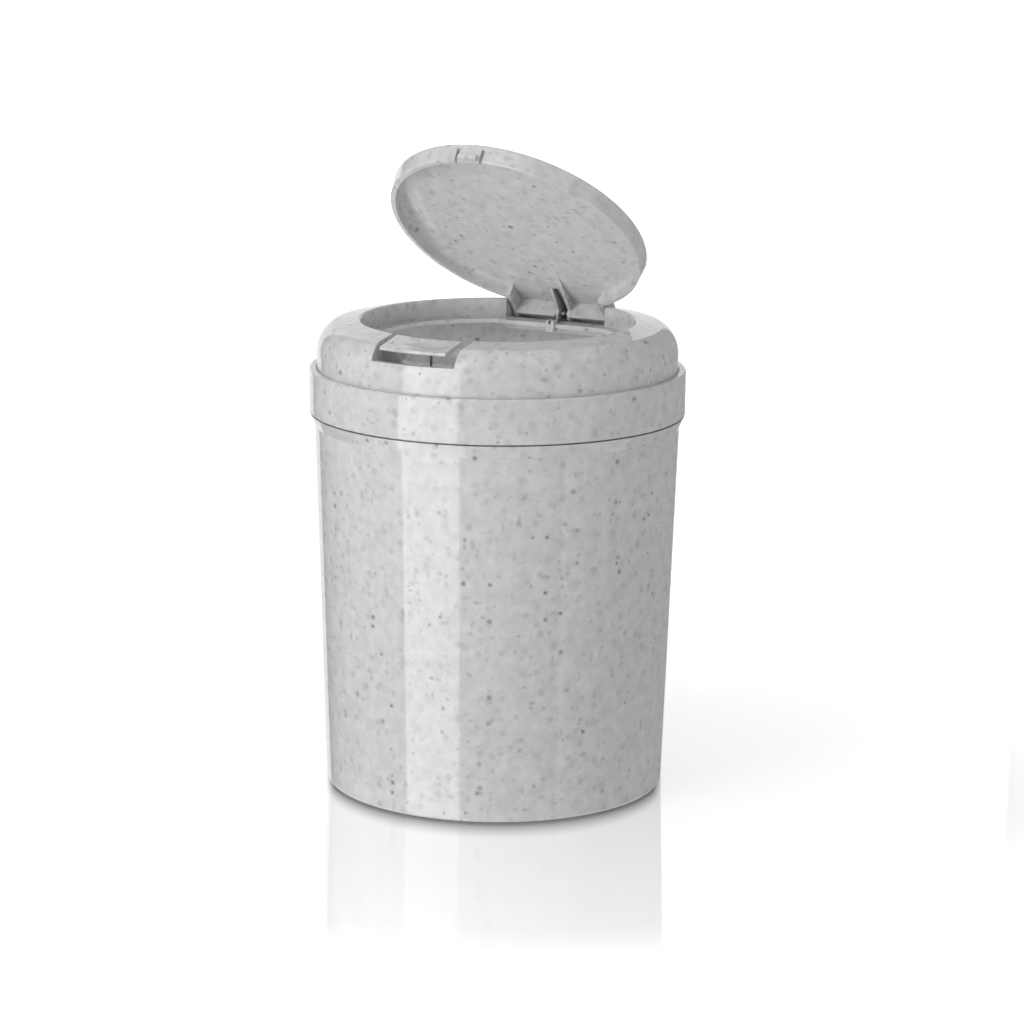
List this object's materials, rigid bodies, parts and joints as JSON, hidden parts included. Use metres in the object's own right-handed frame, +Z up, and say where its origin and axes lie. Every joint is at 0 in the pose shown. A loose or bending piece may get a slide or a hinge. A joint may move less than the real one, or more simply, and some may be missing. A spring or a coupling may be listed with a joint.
{
  "type": "push top countertop bin",
  "caption": "Small round countertop bin, a tapered bucket with a lift-off cover whose sprung round lid opens when a push button is pressed.",
  "frame": {"origin": "middle of the base, on the surface it stands on", "axes": "+Z up, the button faces -Y and the lid's hinge is at +Y"},
  "size_m": [0.125, 0.125, 0.2154],
  "materials": {
    "bin_plastic": "glossy moulded light grey plastic with fine dark specks",
    "pin_steel": "drawn bright steel",
    "spring_steel": "bright spring wire"
  },
  "bodies": {
    "bin": {"bin_body": "bin_plastic"},
    "cover": {"cover_ring": "bin_plastic", "hinge_pin": "pin_steel", "button_pin": "pin_steel", "lid_spring": "spring_steel", "button_spring": "spring_steel"},
    "lid": {"flap_lid": "bin_plastic"},
    "button": {"push_button": "bin_plastic"}
  },
  "joints": [
    {"name": "cover_lift", "type": "slide", "parent": "bin", "child": "cover", "axis": [0, 0, 1], "range_m": [0, 0.02]},
    {"name": "lid_hinge", "type": "hinge", "parent": "cover", "child": "lid", "pos_m": [0, 0.0487, 0.1512], "axis": [1, 0, 0], "range_deg": [0, 40.8], "stiffness_Nm_per_rad": 0.02, "springref_deg": -40.11, "deforming": ["lid_spring"]},
    {"name": "button_press", "type": "hinge", "parent": "cover", "child": "button", "pos_m": [0, -0.0458, 0.144], "axis": [1, 0, 0], "range_deg": [0, 10], "stiffness_Nm_per_rad": 0.002, "springref_deg": -57.3, "deforming": ["button_spring"]}
  ]
}
